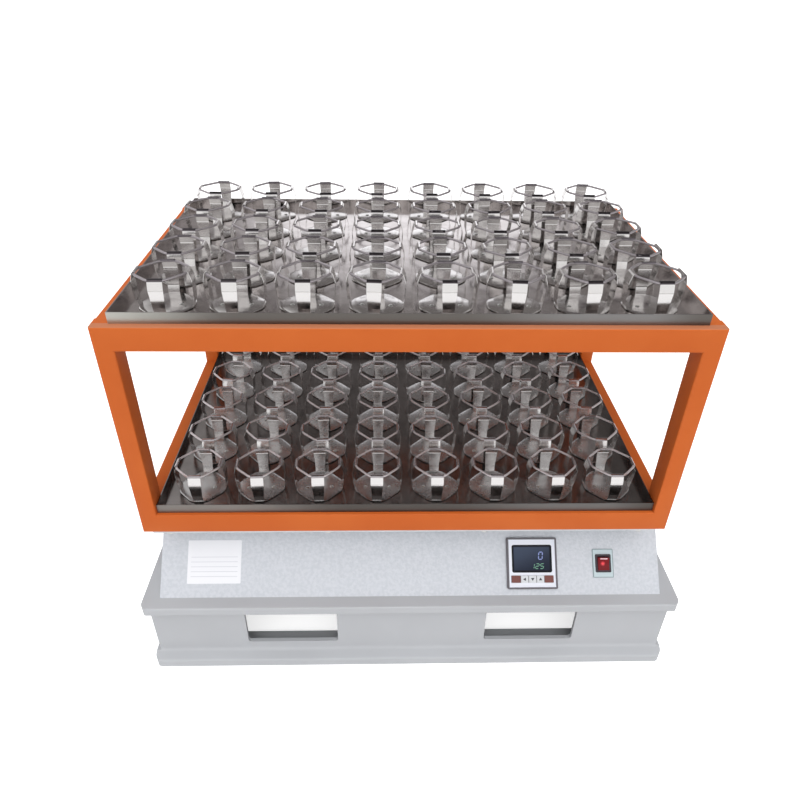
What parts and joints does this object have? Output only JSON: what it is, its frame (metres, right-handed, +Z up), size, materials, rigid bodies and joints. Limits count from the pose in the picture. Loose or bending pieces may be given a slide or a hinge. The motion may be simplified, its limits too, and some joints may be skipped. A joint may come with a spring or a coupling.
{
  "type": "double-deck orbital platform shaker",
  "caption": "Floor-standing double-deck orbital shaker: grey steel base, orange tube frame and steel flask clamps.",
  "frame": {"origin": "middle of the base's underside, on the axis of the main crank", "axes": "+Z up, -Y towards the sloping control panel, +X to the operator's right"},
  "size_m": [1.015, 0.652, 0.797],
  "materials": {
    "base_paint": "satin",
    "deck_paint": "satin",
    "housing_paint": "hammered",
    "control_box_sheet": "satin",
    "fasteners": "zinc plated",
    "cast_housings": "machined",
    "bearing_steel": "ground",
    "crank_steel": "turned",
    "pulley_aluminium": "turned",
    "belt_rubber": "matt",
    "motor_paint": "satin",
    "black_plastic": "moulded",
    "meter_face": "moulded, dark rim",
    "window_glass": "clear over a dark display",
    "red_key": "moulded",
    "white_key": "moulded",
    "switch_guard": "translucent",
    "switch_black": "moulded",
    "rocker_red": "lit, translucent",
    "table_aluminium": "milled",
    "frame_paint": "gloss enamel",
    "tray_steel": "polished",
    "clamp_steel": "polished",
    "ring_wire": "bright"
  },
  "bodies": {
    "base": {"base_front_beam": "base_paint", "base_rear_beam": "base_paint", "base_left_channel": "base_paint", "base_right_channel": "base_paint", "deck_plate": "deck_paint", "deck_bolts": "fasteners", "front_panel": "housing_paint", "top_cover": "housing_paint", "side_covers": "housing_paint", "rear_cover": "housing_paint", "cover_screws": "fasteners", "main_bearing_housing": "cast_housings", "idler_bearing_housings": "cast_housings", "shaft_bearings": "bearing_steel", "drive_belt": "belt_rubber", "motor": "motor_paint", "motor_bracket": "deck_paint", "control_box": "control_box_sheet", "power_inlet": "black_plastic", "meter_case": "black_plastic", "meter_bezel": "meter_face", "meter_window": "window_glass", "switch_plate": "switch_guard", "switch_bezel": "switch_black"},
    "platform": {"drive_table": "table_aluminium", "table_hubs": "cast_housings", "table_bearings": "bearing_steel", "frame_posts": "frame_paint", "frame_cross_beams": "frame_paint", "frame_side_beams": "frame_paint", "tray_bearers": "frame_paint", "frame_bolts": "fasteners", "lower_tray": "tray_steel", "upper_tray": "tray_steel", "lower_clamp_bases": "clamp_steel", "lower_clamp_rings": "ring_wire", "lower_clamp_right_arms": "clamp_steel", "lower_clamp_rear_arms": "clamp_steel", "lower_clamp_left_arms": "clamp_steel", "lower_clamp_front_arms": "clamp_steel", "upper_clamp_bases": "clamp_steel", "upper_clamp_rings": "ring_wire", "upper_clamp_right_arms": "clamp_steel", "upper_clamp_rear_arms": "clamp_steel", "upper_clamp_left_arms": "clamp_steel", "upper_clamp_front_arms": "clamp_steel"},
    "main_crank": {"main_crank": "crank_steel", "counterweight": "crank_steel", "driven_pulley": "pulley_aluminium"},
    "motor_pulley": {"motor_pulley": "pulley_aluminium"},
    "power_rocker": {"power_rocker": "rocker_red"},
    "idler_crank_1": {"idler_crank_1": "crank_steel"},
    "idler_crank_2": {"idler_crank_2": "crank_steel"},
    "idler_crank_3": {"idler_crank_3": "crank_steel"},
    "idler_crank_4": {"idler_crank_4": "crank_steel"},
    "key_set": {"key_set": "red_key"},
    "key_left": {"key_left": "white_key"},
    "key_down": {"key_down": "white_key"},
    "key_up": {"key_up": "white_key"},
    "key_run": {"key_run": "red_key"}
  },
  "joints": [
    {"name": "main_crank_spin", "type": "hinge", "parent": "base", "child": "main_crank", "pos_m": [0, 0, 0.228], "axis": [0, 0, 1], "continuous": true},
    {"name": "table_orbit", "type": "hinge", "parent": "main_crank", "child": "platform", "pos_m": [-0.013, 0, 0.312], "axis": [0, 0, 1], "continuous": true},
    {"name": "idler_spin_1", "type": "hinge", "parent": "base", "child": "idler_crank_1", "pos_m": [-0.33, -0.12, 0.228], "axis": [0, 0, 1], "continuous": true},
    {"name": "idler_spin_2", "type": "hinge", "parent": "base", "child": "idler_crank_2", "pos_m": [0.33, -0.12, 0.228], "axis": [0, 0, 1], "continuous": true},
    {"name": "idler_spin_3", "type": "hinge", "parent": "base", "child": "idler_crank_3", "pos_m": [0.33, 0.12, 0.228], "axis": [0, 0, 1], "continuous": true},
    {"name": "idler_spin_4", "type": "hinge", "parent": "base", "child": "idler_crank_4", "pos_m": [-0.33, 0.12, 0.228], "axis": [0, 0, 1], "continuous": true},
    {"name": "motor_spin", "type": "hinge", "parent": "base", "child": "motor_pulley", "pos_m": [0, 0.165, 0.259], "axis": [0, 0, 1], "continuous": true},
    {"name": "power_rocker_tilt", "type": "hinge", "parent": "base", "child": "power_rocker", "pos_m": [0.3685, -0.25974, 0.21744], "axis": [1, 0, 0], "range_deg": [-18, 0]},
    {"name": "key_set_press", "type": "slide", "parent": "base", "child": "key_set", "axis": [0, 0.7314, -0.682], "range_m": [0, 0.0008], "stiffness_N_per_m": 800, "springref_m": -0.001},
    {"name": "key_left_press", "type": "slide", "parent": "base", "child": "key_left", "axis": [0, 0.7314, -0.682], "range_m": [0, 0.0008], "stiffness_N_per_m": 800, "springref_m": -0.001},
    {"name": "key_down_press", "type": "slide", "parent": "base", "child": "key_down", "axis": [0, 0.7314, -0.682], "range_m": [0, 0.0008], "stiffness_N_per_m": 800, "springref_m": -0.001},
    {"name": "key_up_press", "type": "slide", "parent": "base", "child": "key_up", "axis": [0, 0.7314, -0.682], "range_m": [0, 0.0008], "stiffness_N_per_m": 800, "springref_m": -0.001},
    {"name": "key_run_press", "type": "slide", "parent": "base", "child": "key_run", "axis": [0, 0.7314, -0.682], "range_m": [0, 0.0008], "stiffness_N_per_m": 800, "springref_m": -0.001}
  ],
  "couplings": [
    {"joint": "table_orbit", "follows": "main_crank_spin", "ratio": -1},
    {"joint": "idler_spin_1", "follows": "main_crank_spin", "ratio": 1},
    {"joint": "idler_spin_2", "follows": "main_crank_spin", "ratio": 1},
    {"joint": "idler_spin_3", "follows": "main_crank_spin", "ratio": 1},
    {"joint": "idler_spin_4", "follows": "main_crank_spin", "ratio": 1},
    {"joint": "motor_spin", "follows": "main_crank_spin", "ratio": 3}
  ]
}
